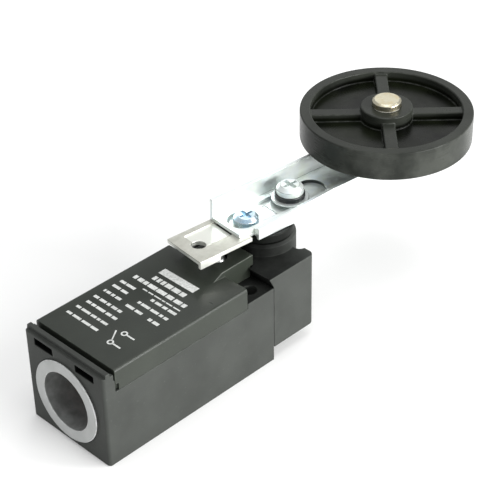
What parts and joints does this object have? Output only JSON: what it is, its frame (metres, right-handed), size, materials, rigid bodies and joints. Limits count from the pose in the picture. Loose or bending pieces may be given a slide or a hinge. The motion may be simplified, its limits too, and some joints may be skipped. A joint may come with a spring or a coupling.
{
  "type": "limit switch",
  "caption": "Compact limit switch lying on its mounting face: box housing with an end cable entry, rotary head, adjustable-length zinc lever and a large black roller.",
  "frame": {"origin": "centre of the two fixing holes on the mounting face", "axes": "+X from the cable entry to the lever head, +Z out of the mounting face along the shaft, +Y across the housing"},
  "size_m": [0.1451, 0.05, 0.0555],
  "materials": {
    "body_plastic": "fine-textured moulded black",
    "cover_plastic": "satin black with a grey-green sheen",
    "insert_plastic": "light grey moulding",
    "block_plastic": "contact block moulding",
    "cap_plastic": "ivory moulding",
    "rubber": "nitrile rubber",
    "contact_brass": "tinned brass with silver tips",
    "steel": "zinc-plated steel",
    "lever_zinc": "bright blue-white zinc plating",
    "blue_zinc": "blue zinc plating",
    "spring_steel": "blackened spring steel",
    "bush_bronze": "sintered bronze",
    "mech_plastic": "acetal",
    "hub_plastic": "black moulding",
    "roller_plastic": "glossy moulded black",
    "pin_metal": "yellow-chromated steel"
  },
  "bodies": {
    "switch_body": {"housing": "body_plastic", "cover": "cover_plastic", "cover_screw": "steel", "cover_gasket": "rubber", "conduit_insert": "insert_plastic", "contact_block": "block_plastic", "block_cap": "cap_plastic", "nc_terminals": "contact_brass", "no_terminals": "contact_brass", "terminal_screws": "steel", "terminal_clamps": "steel", "plunger_spring": "spring_steel", "head_housing": "body_plastic", "head_gasket": "rubber", "head_screws": "steel", "shaft_bush": "bush_bronze", "shaft_seal": "rubber", "torsion_spring": "spring_steel"},
    "lever": {"shaft": "steel", "cam": "mech_plastic", "circlip": "spring_steel", "lever_hub": "hub_plastic", "lever_bracket": "lever_zinc", "locating_screw": "blue_zinc", "clamp_screw": "lever_zinc", "flat_washer": "lever_zinc", "spring_washer": "spring_steel", "clamp_nut": "steel"},
    "arm": {"length_arm": "lever_zinc", "roller_pin": "pin_metal", "roller_washer": "steel"},
    "roller_body": {"roller": "roller_plastic", "roller_bush": "mech_plastic"},
    "plunger": {"head_tappet": "mech_plastic", "contact_plunger": "mech_plastic", "contact_spring": "spring_steel"},
    "bridge": {"contact_bridge": "contact_brass"}
  },
  "joints": [
    {"name": "lever_swing", "type": "hinge", "parent": "switch_body", "child": "lever", "pos_m": [0.017, 0, 0.02], "axis": [0, 0, 1], "range_deg": [-75, 75], "stiffness_Nm_per_rad": 0.06, "deforming": ["torsion_spring"]},
    {"name": "arm_length", "type": "slide", "parent": "lever", "child": "arm", "axis": [0.9949, -0.1011, 0], "range_m": [-0.008, 0.0015]},
    {"name": "roller_spin", "type": "hinge", "parent": "arm", "child": "roller_body", "pos_m": [0.06326, -0.0047, 0.048], "axis": [0, 0, 1], "continuous": true},
    {"name": "plunger_press", "type": "slide", "parent": "switch_body", "child": "plunger", "axis": [-1, 0, 0], "range_m": [0, 0.0022], "stiffness_N_per_m": 600, "springref_m": -0.002, "deforming": ["plunger_spring", "contact_spring"]},
    {"name": "bridge_shift", "type": "slide", "parent": "switch_body", "child": "bridge", "axis": [-1, 0, 0], "range_m": [0, 0.0016]}
  ],
  "couplings": [
    {"joint": "bridge_shift", "follows": "plunger_press", "ratio": 0.72727}
  ]
}
